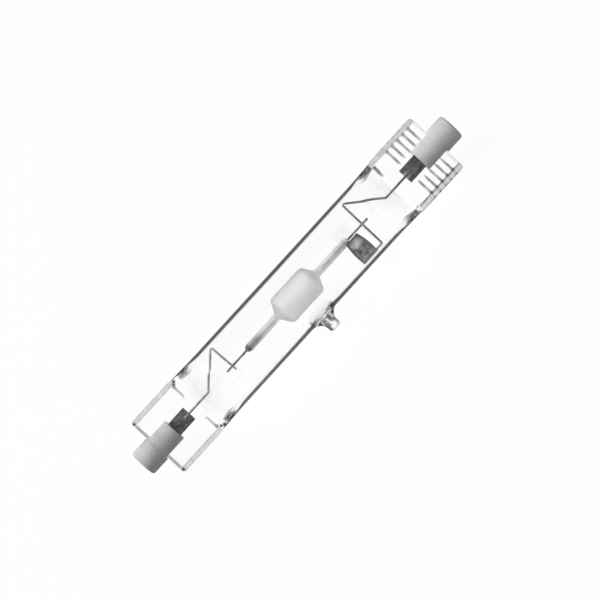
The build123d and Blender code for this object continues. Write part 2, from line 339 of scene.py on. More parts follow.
# fused silica, with places in lamp millimetres
silica = {
    "ior": 1.46,
    # painted shade in the glass's tone by how far a face turns away or tilts, for the dark that the glass
    # bends into view at its edges
    "edgeShadeStops": ((0.562, 1.0), (0.615, 0.004), (0.821, 0.0004), (1.0, 0.002)),  # tube
    "edgeTilt": 0.5,  # and how soon it clears again as it is seen along the lamp
    "tipShadeStops": ((0.07, 1.0), (0.2, 0.5), (0.45, 0.12), (1.0, 0.08)),  # exhaust tip
    "flankShadeStops": ((0.1, 1.0), (0.3, 0.3), (0.6, 0.02), (1.0, 0.005)),  # pinch
    "railFrom": (9.0, 9.3),
    "railInner": 9.0,  # painted rail shade, from here to the glass's side
    "railWidth": 2.0,
    "rightRailShade": ((0.0, 1.0), (0.12, 0.85), (0.25, 0.5), (0.6, 0.58), (0.85, 0.48), (1.0, 0.5)),
    "leftRailShade": ((0.0, 1.0), (0.15, 0.85), (0.33, 0.45), (0.55, 0.74), (0.85, 0.7), (1.0, 0.8)),
    "sharpRail": ((0.0, 0.5), (0.06, 0.1), (0.18, 0.1), (0.3, 0.6), (0.85, 0.5), (1.0, 0.5)),
    "railMottle": 0.4,  # pale blotches in the painted rail shade
    "mottleScale": 0.9,
    "mottleSpan": (0.4, 0.7),
    "leftFade": 0.5,  # how much paler the left pinch's painted shade lines are
    "leftFrom": (46.5, 47.5),  # but not its root or its end
    "leftEnd": (61.0, 61.4),
    "leftEndShadeTone": 0.4,
    "leftRootFade": 0.3,  # towards its middle
    "leftRootFrom": (7.4, 8.8),
    "endFade": 0.6,  # paler painted shade line at the right end
    "endFrom": (60.6, 61.2),
    "pinchFrom": (42.9, 43.5),  # where the pinch takes over
    "pinchLag": 1.5,  # later in its middle
    "leftLag": 1.7,  # and at the left
    "pinchSides": (3.0, 5.5),
    "tipSideFrom": (0.0, 1.0),
    "tipFrom": (8.4, 9.0),
    "tipAlong": (3.9, 4.7),
    "tipEndFrom": (14.4, 15.0),  # its end is paler
    "tipEndFade": 0.6,
    "mouthAlong": (3.3, 4.1),  # clear window over the tip's mouth
    "mouthFrom": (7.6, 8.3),
    "mouthTo": (10.6, 11.2),
    "mouthTone": 0.85,
    "footFrom": (10.3, 10.8),  # the thick foot of the tip lets some light straight through
    "footTo": (12.4, 13.4),
    "footAlong": (5.0, 6.0),
    "footClear": 0.5,
    "leafFrom": (36.0, 39.5),  # painted shade on the thick wall beside the cavity's ends
    "leafTo": (42.8, 43.5),
    "leftLeafLoss": 0.9,  # the left ones end sooner
    "leafEdge": (10.0, 8.8),  # inner edge, where it starts and where it ends
    "leafSoft": (-0.25, 0.25),
    "leafFacing": (-0.05, 0.05),
    "leafShadeTone": 0.025,
    "leafClear": 0.2,
    "spotCore": 0.3,  # share of a dark spot's radius that has its full tone
    "drawLines": 0.03,  # faint lines from drawing the tube: strength, depth, grain along and across
    "drawDepth": 0.1,
    "drawRun": 0.02,
    "skinDraw": 1.2,
    "boreDraw": 0.9,
    "boreTone": 0.97,
}

# painted shade spots where the glass is thick: along, across and radius in lamp millimetres, and tone
paintedShadeSpots = [
    # left end
    (-61.6, 10.1, 0.8, 0.05),
    (-61.6, -10.1, 0.8, 0.05),
    # left root
    (-44.1, 9.9, 0.9, 0.08),
    (-44.8, 9.2, 0.8, 0.12),
    (-45.4, 8.4, 0.7, 0.2),
    (-43.2, -10.1, 1.1, 0.05),
    (-44.3, -9.5, 0.7, 0.1),
    (-45.2, -8.7, 0.7, 0.15),
    # right root
    (44.0, 8.6, 0.6, 0.05),
    (43.9, 7.8, 0.6, 0.06),
    (43.8, 7.0, 0.65, 0.04),
    (43.7, 6.2, 0.6, 0.08),
    (43.4, -10.2, 0.6, 0.2),
    (43.9, -8.8, 0.5, 0.25),
]

# and painted shade spots on the foot and sides of the exhaust tip
tipShadeSpots = [
    (-3.6, -10.1, 0.6, 0.02),
    (-1.9, -11.0, 0.8, 0.3),
    (-0.4, -11.6, 0.8, 0.12),
    (-0.6, -12.5, 1.0, 0.08),
    (-0.7, -13.4, 1.1, 0.03),
    (-0.7, -14.4, 1.0, 0.03),
    (1.5, -11.3, 0.9, 0.08),
    (1.8, -12.1, 1.1, 0.06),
    (2.2, -12.9, 0.8, 0.1),
    (5.3, -10.2, 0.6, 0.06),
    (4.7, -10.5, 0.7, 0.05),
    (4.1, -10.7, 0.8, 0.02),
    (3.6, -11.1, 0.75, 0.04),
]


def letLampsThrough(finish, clearShare=0.0):
    # light from the lamps goes straight through, so what is inside is lit
    shadowRay = finish.node("ShaderNodeLightPath", output="Is Shadow Ray").most(clearShare)
    return finish.show(finish.mixShader(shadowRay, finish, finish.node("ShaderNodeBsdfTransparent")))


def past(field, span):
    # from 0 to 1 over one of silica's spans
    return field.between(*silica[span])


def drawLines(finish, grainAcross):
    return finish.place.stretch(silica["drawRun"], grainAcross, grainAcross).grain(1.0)


def silicaSkin():
    finish = Finish("silicaSkin", Roughness=0.0, IOR=silica["ior"], Transmission_Weight=1.0)
    x = finish.place.axis("X")
    y = finish.place.axis("Y")
    along = x.size()
    across = y.size()
    towardsTip = 0 - y
    onLeft = 1 - finish.onRight()
    onTipSide = past(towardsTip, "tipSideFrom")
    # painted shade at the tube's and tip's edges, with a clear window over the tip's mouth
    normal = finish.node("ShaderNodeNewGeometry", output="Normal")
    turnedAway = finish.node("ShaderNodeLayerWeight", output="Facing")
    leantAway = []
    for lean in (-silica["edgeTilt"], silica["edgeTilt"]):
        leaning = finish.vectorMath("NORMALIZE", finish.vectorMath("ADD", normal, (lean, 0, 0)))
        leantAway.append(finish.node("ShaderNodeLayerWeight", {"Normal": leaning}, "Facing"))
    tubeAway = finish.math("MINIMUM", *leantAway)
    besideTip = (x - tip["offset"] / mm).size()
    onTip = past(towardsTip, "tipFrom") * (1 - past(besideTip, "tipAlong"))
    tone = onTip.tint(tubeAway.ramp(*silica["edgeShadeStops"]), turnedAway.ramp(*silica["tipShadeStops"]))
    tone = (past(towardsTip, "tipEndFrom") * silica["tipEndFade"]).tint(tone, 1.0)
    overMouth = past(towardsTip, "mouthFrom") * (1 - past(towardsTip, "mouthTo"))
    overMouth = overMouth * (1 - past(besideTip, "mouthAlong"))
    tone = overMouth.tint(tone, silica["mouthTone"])
    # painted shade on the thick wall at the shoulders, on the side that faces up from the pinch
    flatNormal = lampTurn @ Vector((0, 0, 1))
    facing = finish.vectorMath("DOT_PRODUCT", normal, flatNormal, "Value")
    leafStart, leafEnd = silica["leafEdge"]
    widening = past(along, "leafFrom")
    leafEdge = leafStart - widening * (leafStart - leafEnd)
    leaf = past(across - leafEdge, "leafSoft") * past(facing, "leafFacing")
    leafPast = along + onLeft * silica["leftLeafLoss"]
    leaf = leaf * widening * (1 - past(leafPast, "leafTo"))
    tone = leaf.tint(tone, silica["leafShadeTone"])
    # in the pinch a face gets painted shade where it tilts from the flat: ridge flanks, rails and ends
    tilt = (1 - facing * facing).most(0.0) ** 0.5
    flank = tilt.ramp(*silica["flankShadeStops"])
    atLeftEnd = onLeft * past(along, "leftEnd")
    fade = onLeft * past(along, "leftFrom") * silica["leftFade"]
    rootFade = onLeft * (1 - past(across, "leftRootFrom")) * silica["leftRootFade"]
    fade = fade.most(rootFade) * (1 - atLeftEnd)
    fade = fade + (1 - onLeft) * past(along, "endFrom") * silica["endFade"]
    flank = fade.tint(flank, 1.0)
    flank = atLeftEnd.tint(flank, silica["leftEndShadeTone"])
    outwards = (across - silica["railInner"]) / silica["railWidth"]
    rail = onTipSide.tint(outwards.ramp(*silica["rightRailShade"]), outwards.ramp(*silica["sharpRail"]))
    rail = onLeft.tint(rail, outwards.ramp(*silica["leftRailShade"]))
    mottle = past(finish.place.grain(silica["mottleScale"]), "mottleSpan")
    rail = (mottle * silica["railMottle"]).tint(rail, 1.0)
    pinchTone = past(across, "railFrom").tint(flank, rail)
    plainRoot = (1 - onLeft) * onTipSide
    late = (1 - past(across, "pinchSides")).most(plainRoot) * silica["pinchLag"]
    inPinch = past(along - late - onLeft * silica["leftLag"], "pinchFrom")
    tone = inPinch.tint(tone, pinchTone)
    # the tip's foot and the shoulders let some light straight through, outside the painted shade spots
    clearShare = past(towardsTip, "footFrom") * (1 - past(towardsTip, "footTo"))
    clearShare = clearShare * (1 - past(besideTip, "footAlong")) * silica["footClear"]
    clearShare = clearShare.most(leaf * silica["leafClear"])
    for spotX, spotY, radius, level in paintedShadeSpots + ridgeShadeSpots() + tipShadeSpots:
        away = ((x - spotX) ** 2 + (y - spotY) ** 2) ** 0.5
        spot = 1 - away.between(silica["spotCore"] * radius, radius)
        tone = spot.tint(tone, level)
        clearShare = clearShare * (1 - spot)
    relief = drawLines(finish, silica["skinDraw"]).bump(silica["drawLines"], silica["drawDepth"])
    finish.feed(Base_Color=tone, Normal=relief)
    return letLampsThrough(finish, clearShare)


def silicaBore():
    finish = Finish("silicaBore", Roughness=0.0, IOR=silica["ior"], Transmission_Weight=1.0)
    finish.feed(Base_Color=drawLines(finish, silica["boreDraw"]).tint(silica["boreTone"], 1.0))
    return letLampsThrough(finish)


glass = {
    "sideSteps": 12,  # steps round a quarter of a ring: the rail's outer side, its inner flank, the flat
    "flankSteps": 14,
    "flatSteps": 26,
    "flankReach": (1.2, 0.4),  # where its steps start and end about the rail's inner edge, in flank widths
    "boreQuarter": 24,
    "footSteps": 7,  # along the lamp: beside the tip, along the tube, then towards the ends
    "tubeSteps": 12,
    "shoulderSteps": 26,
    "rootSteps": 12,
    "endSteps": 5,
    "wall": 1.3 * mm,
    "shoulder": 11.6 * mm,
    "pinchLength": 17.2 * mm,
    "pinchHalf": 11.0 * mm,
    "pinchRoot": 1.2 * mm,
    "rootRun": 0.6 * mm,  # how sharply the slab starts at its sides
    "rootSoftRun": 4.0 * mm,  # and in its middle
    "rootSharp": (3.0 * mm, 5.5 * mm),  # from where to where across it goes from soft to sharp
    "leftRootLag": 1.7 * mm,  # the left pinch starts a little later
    "sink": 0.3 * mm,
    "slabHalf": 1.65 * mm,
    "sideRound": 1.2 * mm,
    "softRail": (9.0 * mm, 1.2 * mm, 0.15 * mm),  # inner edge, width of its flank, height
    "sharpRail": (8.95 * mm, 0.5 * mm, 0.35 * mm),  # at the right pinch, on the tip's side
    "corner": 1.0 * mm,
    "endRound": 0.45 * mm,
    "cavityReach": 0.9,
    "cavityDraw": 0.3 * mm,
    "cavityTaper": 2.5 * mm,
    "cavityTip": 0.08,  # share of its height that is left at its ends
}

ridges = {
    "count": 6,
    "pitch": 2.34 * mm,
    "endMargin": 0.56 * mm,
    "radius": 0.3 * mm,
    "rightHeight": 0.19 * mm,
    "uneven": 0.45,  # how much the height varies along a ridge and from one to the next
    "unevenStep": 2.4,
    "unevenRun": 0.9 * mm,
    "leftHeight": 0.025 * mm,  # worn flat at the left end
    "endShare": 0.2,  # height of the ridge beside the right end
    "inner": 2.9 * mm,
    "outer": 9.0 * mm,
    "run": 2.2 * mm,
    "outerRun": 0.6 * mm,
    "steps": 10,  # across a ridge
    "stepReach": 1.1,  # how far to each side, in radii
    "gapSteps": 4,  # between two ridges
    "spotAcross": 9.1 * mm,  # painted shade spots where the glass is thick at the ridges' ends
    "spotRadius": 0.85 * mm,
    "spotShadeTone": 0.04,
    "faintShadeTone": 0.25,
}

pinchStart = glassEnd - glass["pinchLength"]
tubeEnd = pinchStart - glass["shoulder"]


def leftLag(left):
    return glass["leftRootLag"] if left else 0.0


def rootPlace(left):
    return pinchStart - glass["pinchRoot"] + leftLag(left)


def spread(start, end, count):
    return [start + (end - start) * step / count for step in range(1, count + 1)]


def placedQuarter(curve, shares):
    # points at given shares of a quarter outline's length
    lengths = [0.0]
    for first, second in zip(curve, curve[1:]):
        lengths.append(lengths[-1] + hypot(second[0] - first[0], second[1] - first[1]))
    points = []
    leg = 0
    for wanted in (lengths[-1] * share for share in shares):
        while leg < len(curve) - 2 and lengths[leg + 1] < wanted:
            leg += 1
        share = (wanted - lengths[leg]) / (lengths[leg + 1] - lengths[leg])
        points.append([a + (b - a) * share for a, b in zip(curve[leg], curve[leg + 1])])
    return points


def quarterTurns(steps):
    return [pi / 2 * step / steps for step in range(steps + 1)]


def roundQuarter(halfWidth, halfHeight, centreY=0.0, centreZ=0.0, steps=48):
    turns = quarterTurns(steps)
    return [(centreY + halfWidth * cos(turn), centreZ + halfHeight * sin(turn)) for turn in turns]


def slabQuarter(halfWidth, halfHeight, corner):
    arc = roundQuarter(corner, corner, halfWidth - corner, halfHeight - corner, steps=10)
    return [(halfWidth, 0.0)] + arc + [(0.0, halfHeight)]


def fullRing(plusSide, minusSide):
    # four quarters, two of them on the tip's side
    count = len(plusSide) - 1
    ring = []
    for step in range(4 * count + 1):
        quadrant, along = divmod(step, count)
        quarter = minusSide if quadrant in (1, 2) else plusSide
        y, z = quarter[count - along if quadrant % 2 else along]
        ring.append((-y if quadrant in (1, 2) else y, -z if quadrant in (2, 3) else z))
    return ring


def slabShares():
    # closer points at the rails' inner flanks
    topStart = glass["slabHalf"] - glass["sideRound"] + glass["sideRound"] * pi / 2
    flatEnd = glass["pinchHalf"] - glass["sideRound"]
    whole = topStart + flatEnd
    railInner, railFlank = glass["sharpRail"][:2]
    outside, inside = glass["flankReach"]
    flankOuter = whole - railInner - outside * railFlank
    flankInner = whole - railInner + inside * railFlank
    places = [0.0] + spread(0.0, flankOuter, glass["sideSteps"])
    places += spread(flankOuter, flankInner, glass["flankSteps"])
    places += spread(flankInner, whole, glass["flatSteps"])
    return [place / whole for place in places]


skinShares = slabShares()
boreShares = [0.0] + spread(0.0, 1.0, glass["boreQuarter"])


def drawnHalves(reach, radius, endHalfWidth, endHalfHeight):
    # the shoulder's section, from round to flat
    drawn = ease((reach - tubeEnd) / glass["shoulder"])
    return radius + (endHalfWidth - radius) * drawn, radius + (endHalfHeight - radius) * drawn


def crest(off, half):
    # a soft crest: 1 in the middle, 0 from half outwards
    return max(0.0, 1 - (off / half) ** 2) ** 2


def ridgePlaces():
    return [glassEnd - ridges["endMargin"] - number * ridges["pitch"] for number in range(ridges["count"])]


def ridgeShadeSpots():
    # painted shade at the right ridges' outer ends, where the glass is thick: dark at the sharp rail,
    # fainter at the other
    across = ridges["spotAcross"] / mm
    radius = ridges["spotRadius"] / mm
    spots = []
    for place in ridgePlaces()[1:]:
        spots.append((place / mm, -across, radius, ridges["spotShadeTone"]))
        spots.append((place / mm, across, radius, ridges["faintShadeTone"]))
    return spots


def ridgeLift(reach, y, left):
    line = 0.0
    for number, place in enumerate(ridgePlaces()):
        wave = sin(ridges["unevenStep"] * number + y / ridges["unevenRun"])
        uneven = 1 - ridges["uneven"] * (0.5 + 0.5 * wave)
        share = uneven if number or left else ridges["endShare"]
        line = max(line, share * crest(reach - place, ridges["radius"]))
    line *= ease((y - ridges["inner"]) / ridges["run"])
    line *= 1 - ease((y - ridges["outer"]) / ridges["outerRun"])
    return line * (ridges["leftHeight"] if left else ridges["rightHeight"])


def roundLoss(reach, radius):
    # how far the glass has drawn in, at an end that is rounded
    part = max(0.0, reach - glassEnd + radius)
    return radius - sqrt(max(0.0, radius ** 2 - part ** 2))


def skinQuarter(x, onTipSide):
    reach = abs(x)
    left = x < 0
    plain = onTipSide and not left  # no root line here, but a sharp rail
    railInner, railFlank, railRise = glass["sharpRail" if plain else "softRail"]
    endHalves = (glass["pinchHalf"] - glass["sink"], glass["slabHalf"] - glass["sink"])
    ring = placedQuarter(roundQuarter(*drawnHalves(reach, tubeRadius, *endHalves)), skinShares)
    endLoss = roundLoss(reach, glass["endRound"])
    cornerLoss = roundLoss(reach, glass["corner"])
    slab = slabQuarter(
        glass["pinchHalf"] - cornerLoss, glass["slabHalf"] - endLoss, glass["sideRound"] - endLoss
    )
    slab = placedQuarter(slab, skinShares)
    softFrom, sharpFrom = glass["rootSharp"]
    for point, drawnPoint in zip(slab, ring):
        sharp = 0.0 if plain else ease((point[0] - softFrom) / (sharpFrom - softFrom))
        run = glass["rootSoftRun"] + (glass["rootRun"] - glass["rootSoftRun"]) * sharp
        inSlab = ease((reach - rootPlace(left)) / run + 0.5)
        if inSlab > 0:
            rail = railRise * ease((point[0] - railInner) / railFlank)
            lift = max(rail, ridgeLift(reach, point[0], left))
            point[1] += lift * point[1] / glass["slabHalf"]
            for axis in (0, 1):
                drawnPoint[axis] += (point[axis] - drawnPoint[axis]) * inSlab
    return ring


def skinRing(x):
    return fullRing(skinQuarter(x, False), skinQuarter(x, True))


def cavityEnd(left):
    return tubeEnd + glass["cavityReach"] * glass["shoulder"] + leftLag(left)


def boreRing(x):
    radius = tubeRadius - glass["wall"]
    endHalfHeight = glass["slabHalf"] - glass["sink"] - glass["wall"]
    halfWidth, halfHeight = drawnHalves(abs(x), radius, radius - glass["cavityDraw"], endHalfHeight)
    closing = (cavityEnd(x < 0) - abs(x)) / glass["cavityTaper"]
    halfHeight *= min(1.0, max(glass["cavityTip"], closing))
    quarter = placedQuarter(roundQuarter(halfWidth, halfHeight), boreShares)
    return fullRing(quarter, quarter)


def rolledSkin(name, halfStations, ringAt):
    # a flat grid, rolled up into a tube of rings
    stations = [-x for x in reversed(halfStations(True))] + [0.0] + halfStations(False)
    rings = [ringAt(x) for x in stations]
    columns = len(stations) - 1
    rows = len(rings[0]) - 1
    piece = newGrid(name, columns, rows)
    for vertex in piece.data.vertices:
        column = round((vertex.co.x + 1) / 2 * columns)
        row = round((vertex.co.y + 1) / 2 * rows)
        vertex.co = (stations[column], *rings[column][row])
    openWhole(piece)
    bpy.ops.mesh.remove_doubles(threshold=0.001 * mm)
    closeMesh()
    return piece


def growStub(piece, wallRadius, halfPatch, profile):
    # pushes a patch of the wall out towards -Y, through rings of given radius and height
    centreX = tip["offset"]

    def onPatch(face):
        centre = face.calc_center_median()
        return abs(centre.x - centreX) < halfPatch and centre.y < 0 and abs(centre.z) < halfPatch

    pick(piece, "FACE", onPatch)
    cage = bmesh.from_edit_mesh(piece.data)
    disc = cage.verts.layers.float_vector.new("disc")
    patch = [vertex for vertex in cage.verts if vertex.select]
    places = [(vertex.co.x, atan2(vertex.co.z, -vertex.co.y)) for vertex in patch]
    ends = [(min(row), max(row)) for row in zip(*places)]
    for vertex, place in zip(patch, places):
        along, across = (2 * (at - low) / (high - low) - 1 for at, (low, high) in zip(place, ends))
        vertex[disc] = (along, across, 0)
    bmesh.update_edit_mesh(piece.data)
    for radius, height in profile:
        bpy.ops.mesh.extrude_region_move()
        cage = bmesh.from_edit_mesh(piece.data)
        disc = cage.verts.layers.float_vector["disc"]
        flat = ease(height / tip["flare"])
        for vertex in cage.verts:
            if vertex.select:
                along, across = vertex[disc][:2]
                z = radius * across * sqrt(1 - along ** 2 / 2)  # square patch to round disc
                wall = sqrt(wallRadius ** 2 - z ** 2)
                level = wall + (wallRadius - wall) * flat + height
                vertex.co = (centreX + radius * along * sqrt(1 - across ** 2 / 2), -level, z)
        bmesh.update_edit_mesh(piece.data)
    closeMesh()
    piece.data.attributes.remove(piece.data.attributes["disc"])


def closeSkin(piece, inside):
    openWhole(piece)
    bpy.ops.mesh.fill_holes(sides=0)
    bpy.ops.mesh.normals_make_consistent(inside=False)
    # a thin wedge can mislead that, so the volume's sign decides
    outwards = bmesh.from_edit_mesh(piece.data).calc_volume(signed=True) > 0
    if outwards == inside:
        bpy.ops.mesh.flip_normals()
    closeMesh()


def tipProfile():
    rings = []
    for turn in quarterTurns(tip["flareSteps"]):
        rings.append((tip["radius"] + tip["flare"] * (1 - sin(turn)), tip["flare"] * (1 - cos(turn))))
    shoulderHeight = tip["reach"] - tip["endRound"] - tubeRadius
    for turn in quarterTurns(tip["endSteps"]):
        radius = tip["radius"] - tip["endRound"] * (1 - cos(turn))
        rings.append((radius, shoulderHeight + tip["endRound"] * sin(turn)))
    return rings


def boreProfile(wallRadius):
    closed = tip["reach"] - tip["endWall"] - tip["boreEndRadius"] - wallRadius
    mouthRun = tip["boreMouth"] - tip["boreRadius"]
    rings = [(tip["boreMouth"], 0.0), (tip["boreRadius"] + mouthRun / 4, mouthRun / 3)]
    rings += [(tip["boreRadius"], mouthRun), (tip["boreEndRadius"], closed)]
    for step in range(1, tip["boreEndSteps"] + 1):
        turn = pi / 2 * step / (tip["boreEndSteps"] + 0.5)  # stops short of the pole
        rings.append((tip["boreEndRadius"] * cos(turn), closed + tip["boreEndRadius"] * sin(turn)))
    return rings


def tubeStations():
    # close together where the tip's foot is
    footEnd = tip["halfPatch"] + 2 * tip["offset"]
    return spread(0.0, footEnd, glass["footSteps"]) + spread(footEnd, tubeEnd, glass["tubeSteps"])


def skinStations(left):
    endLow = glassEnd - glass["endRound"]
    aside = ridges["stepReach"] * ridges["radius"]
    half = tubeStations()
    half += spread(tubeEnd, rootPlace(left) - glass["rootRun"] / 2, glass["shoulderSteps"])
    half += spread(half[-1], rootPlace(left) + glass["rootRun"] / 2, glass["rootSteps"])
    for place in reversed(ridgePlaces()):
        half += spread(half[-1], place - aside, ridges["gapSteps"])
        half += spread(half[-1], min(place + aside, endLow), ridges["steps"])
    if half[-1] < endLow:
        half.append(endLow)
    turns = spread(0.0, pi / 2, glass["endSteps"])
    return half + [endLow + glass["endRound"] * sin(turn) for turn in turns]


def boreStations(left):
    return tubeStations() + spread(tubeEnd, cavityEnd(left), glass["shoulderSteps"])


def makeEnvelope():
    skin = rolledSkin("silica_envelope", skinStations, skinRing)
    growStub(skin, tubeRadius, tip["halfPatch"], tipProfile())
    closeSkin(skin, inside=False)
    boreRadius = tubeRadius - glass["wall"]
    bore = rolledSkin("silica_bore", boreStations, boreRing)
    growStub(bore, boreRadius, tip["halfBorePatch"], boreProfile(boreRadius))
    closeSkin(bore, inside=True)
    skin.data.materials.append(silicaSkin())
    bore.data.materials.append(silicaBore())
    takeUp(skin)
    bore.select_set(True)
    bpy.ops.object.join()
    softShade(skin, 60)
    seatPiece(skin, "fused_silica", None, "outer_bulb")


makeEnvelope()
print("silica envelope done")


# end caps
cap = {
    "sides": 96,
    "tongueRadius": 4.3 * mm,
    "round": (0.8 * mm, 6),  # width and steps
    "recessRadius": 2.3 * mm,
    "mouthRound": (0.3 * mm, 3),
    "seatRadius": 2.05 * mm,
    "seatDepth": 0.8 * mm,
    "shankRadius": 1.15 * mm,
    "slotHeight": 3.8 * mm,
    "slotPast": 0.4 * mm,  # past the glass end
    "softEdge": (0.18 * mm, 2),
    "shankPast": 1.0 * mm,  # how far the shank's hole goes on into the slot
    "cutterPast": 4.0 * mm,  # how far the slot's cutter stands out
    "near": 0.01 * mm,  # how close to its place an edge has to be
    "split": 40,  # degrees from which an edge is sharp
    # the left cap gets a darker tone than the right, the same ceramic: painted shade
    "rightTone": 0.74,
    "leftShadedTone": 0.66,
    "mottle": 0.05,
    "pitShare": 0.5,
    "pitDark": 0.22,
}


def steatite(name, tone):
    # pressed ceramic, slightly mottled, with fine pits
    finish = Finish(name, Specular_IOR_Level=0.35)
    place = finish.place
    cloud = place.grain(0.28, 4.0)
    pits = place.grain(3.2, 2.0).between(0.62, 0.72)
    colour = cloud.between(0.3, 0.7).tint(tone - cap["mottle"], tone + cap["mottle"])
    colour = (pits * cap["pitShare"]).tint(colour, tone - cap["pitDark"])
    relief = place.grain(5.0, 4.0) - pits * 0.6
    return finish.feed(Base_Color=colour, Roughness=0.55 + cloud * 0.2, Normal=relief.bump(0.35, 0.06))


def makeCaps():
    headRadius = (capHigh[2] - capLow[2]) / 2
    placed = {"location": ((glassEnd + lampEnd) / 2, 0, 0), "rotation": (0, pi / 2, 0)}
    clearSelection()
    bpy.ops.mesh.primitive_cylinder_add(
        vertices=cap["sides"], radius=headRadius, depth=lampEnd - glassEnd, **placed
    )
    right = newPiece("ceramic_cap_right")
    # tongues towards the glass
    pick(right, "FACE", lambda face: face.normal.x < -0.9)
    bpy.ops.mesh.inset(thickness=headRadius - cap["tongueRadius"])
    pushFaces(x=capStart - glassEnd)
    # recess, contact seat and shank hole in the outer end
    pick(right, "FACE", lambda face: face.normal.x > 0.9)
    bpy.ops.mesh.inset(thickness=headRadius - cap["recessRadius"])
    pushFaces(x=contactFace - lampEnd)
    bpy.ops.mesh.inset(thickness=cap["recessRadius"] - cap["seatRadius"])
    pushFaces(x=-cap["seatDepth"])
    bpy.ops.mesh.inset(thickness=cap["seatRadius"] - cap["shankRadius"])
    slotEnd = glassEnd + cap["slotPast"]
    pushFaces(x=slotEnd - cap["shankPast"] - (contactFace - cap["seatDepth"]))

    def roundRing(radius, width, steps):
        # rounds the edge of that radius on the outer end
        def onRing(vertex):
            x, y, z = vertex.co
            return abs(x - lampEnd) <= cap["near"] and abs(hypot(y, z) - radius) <= 2 * cap["near"]

        pick(right, "EDGE", lambda edge: all(map(onRing, edge.verts)))
        bpy.ops.mesh.bevel(offset=width, segments=steps, affect="EDGES")

    roundRing(headRadius, *cap["round"])
    roundRing(cap["recessRadius"], *cap["mouthRound"])
    closeMesh()
    clearSelection()
    slotLength = slotEnd - capStart + cap["cutterPast"]
    slotSize = (slotLength, 4 * headRadius, cap["slotHeight"])
    bpy.ops.mesh.primitive_cube_add(size=1, location=(slotEnd - slotLength / 2, 0, 0), scale=slotSize)
    cutter = newPiece("slotCutter")
    useModifier(right, "BOOLEAN", {"operation": "DIFFERENCE", "object": cutter, "solver": "EXACT"})
    bpy.data.objects.remove(cutter)
    width, steps = cap["softEdge"]
    sharpOnly = {"limit_method": "ANGLE", "angle_limit": radians(cap["split"])}
    useModifier(right, "BEVEL", {"width": width, "segments": steps, **sharpOnly})
    softShade(right, cap["split"])
    left = otherEnd(right, "ceramic_cap_left")
    seatPiece(right, "cap_ceramic", steatite("steatiteRight", cap["rightTone"]), "cap_insulator_right")
    # the left cap's darker tone is painted shade
    seatPiece(left, "cap_ceramic", steatite("steatiteLeftShaded", cap["leftShadedTone"]), "cap_insulator_left")


makeCaps()
print("ceramic caps done")


# sealing foils
foil = {
    "lengthSteps": 60,
    "widthSteps": 24,
    "width": 5.1 * mm,
    "thickness": 0.05 * mm,
    "edge": 0.012 * mm,
    "level": -0.375 * mm,
    "ripple": 0.025 * mm,
    "rippleRun": (2.2 * mm, 1.6 * mm),  # along and across
    "tone": (0.03, 0.17),
    "weldTone": 0.4,
    "weldShare": 0.85,
    "weldFrom": (-0.5, 0.0),  # millimetres from the foil's inner end
    "weldTo": (0.5, 2.5),
    "weldHalf": (0.6, 1.3),
}


def foilMetal():
    # etched molybdenum, dark, with rolling lines; paler where the right wire is welded on
    finish = Finish("foilMetal", Metallic=0.75)
    place = finish.place
    lines = place.stretch(0.12, 4.0, 1.0).grain(1.6, 4.0)
    cloud = place.grain(0.8)
    colour = (lines * 0.6 + cloud * 0.4).between(0.4, 0.62).tint(*foil["tone"])
    fromEnd = place.axis("X") - foilLow[0] / mm
    welded = fromEnd.between(*foil["weldFrom"]) * (1 - fromEnd.between(*foil["weldTo"]))
    welded = welded * (1 - place.axis("Y").size().between(*foil["weldHalf"]))
    colour = (welded * foil["weldShare"]).tint(colour, foil["weldTone"])
    return finish.feed(Base_Color=colour, Roughness=0.4 + cloud * 0.3, Normal=lines.bump(0.4, 0.03))


def makeFoils():
    halfLength = (foilHigh[0] - foilLow[0]) / 2
    middle = (foilHigh[0] + foilLow[0]) / 2
    rippleAlong, rippleAcross = foil["rippleRun"]
    right = newPlate("pinch_foil_right", foil["lengthSteps"], foil["widthSteps"])
    for vertex in right.data.vertices:
        # lens-shaped section, thin at the sides, with a slight ripple
        x = middle + halfLength * vertex.co.x
        y = foil["width"] / 2 * vertex.co.y
        fromMiddle = vertex.co.y ** 2
        thickness = foil["edge"] + (foil["thickness"] - foil["edge"]) * (1 - fromMiddle ** 2)
        upper = 0.5 if vertex.co.z > 0.5 else -0.5
        wave = noise.noise(Vector((x / rippleAlong, y / rippleAcross, 3.0)))
        vertex.co = (x, y, foil["level"] + upper * thickness + foil["ripple"] * wave * fromMiddle)
    faceOutwards(right)
    softShade(right, 50)
    left = otherEnd(right, "pinch_foil_left")
    finish = foilMetal()
    seatPiece(right, "sealing_foil", finish, "sealing_foil_right")
    seatPiece(left, "sealing_foil", finish, "sealing_foil_left")


makeFoils()
print("sealing foils done")


# getter
getter = {
    "steps": 40,
    "bottom": -8.7 * mm,  # across the lamp
    "height": 8.1 * mm,
    "width": 5.8 * mm,
    "topWidth": 4.8 * mm,
    "bow": 0.35 * mm,
    "back": 1.4 * mm,
    "thickness": 0.2 * mm,
    "rim": 0.1 * mm,  # how far the rolled sides stand up
    "rimRun": 0.5 * mm,
    "bedMargin": 0.6 * mm,
    "bedThickness": 0.1 * mm,
    "bedGrain": 0.05 * mm,
    "bedLump": 0.9 * mm,
    "bedRun": 0.4 * mm,  # from its edge to its full thickness
    "steelTone": ((0.006, 0.006, 0.006), (0.05, 0.05, 0.049)),
    "powderTone": (0.004, 0.14),
    "paleTone": 0.4,
    "patchAt": (23.4, -2.8),  # pale patch, in lamp millimetres
    "patchRadius": 2.1,
    "patchStretch": 0.7,
    "bandSpan": (-8.1, -7.4, -6.7),  # fainter band, across the lamp
}


def getterSteel():
    finish = Finish("getterSteel", Metallic=0.4)
    place = finish.place
    lines = place.stretch(5.0, 0.4, 1.0).grain(1.2, 4.0)
    heat = place.grain(0.5)
    colour = (lines * 0.5 + heat * 0.5).between(0.3, 0.7).tint(*getter["steelTone"])
    return finish.feed(Base_Color=colour, Roughness=0.35 + heat * 0.3, Normal=lines.bump(0.3, 0.02))


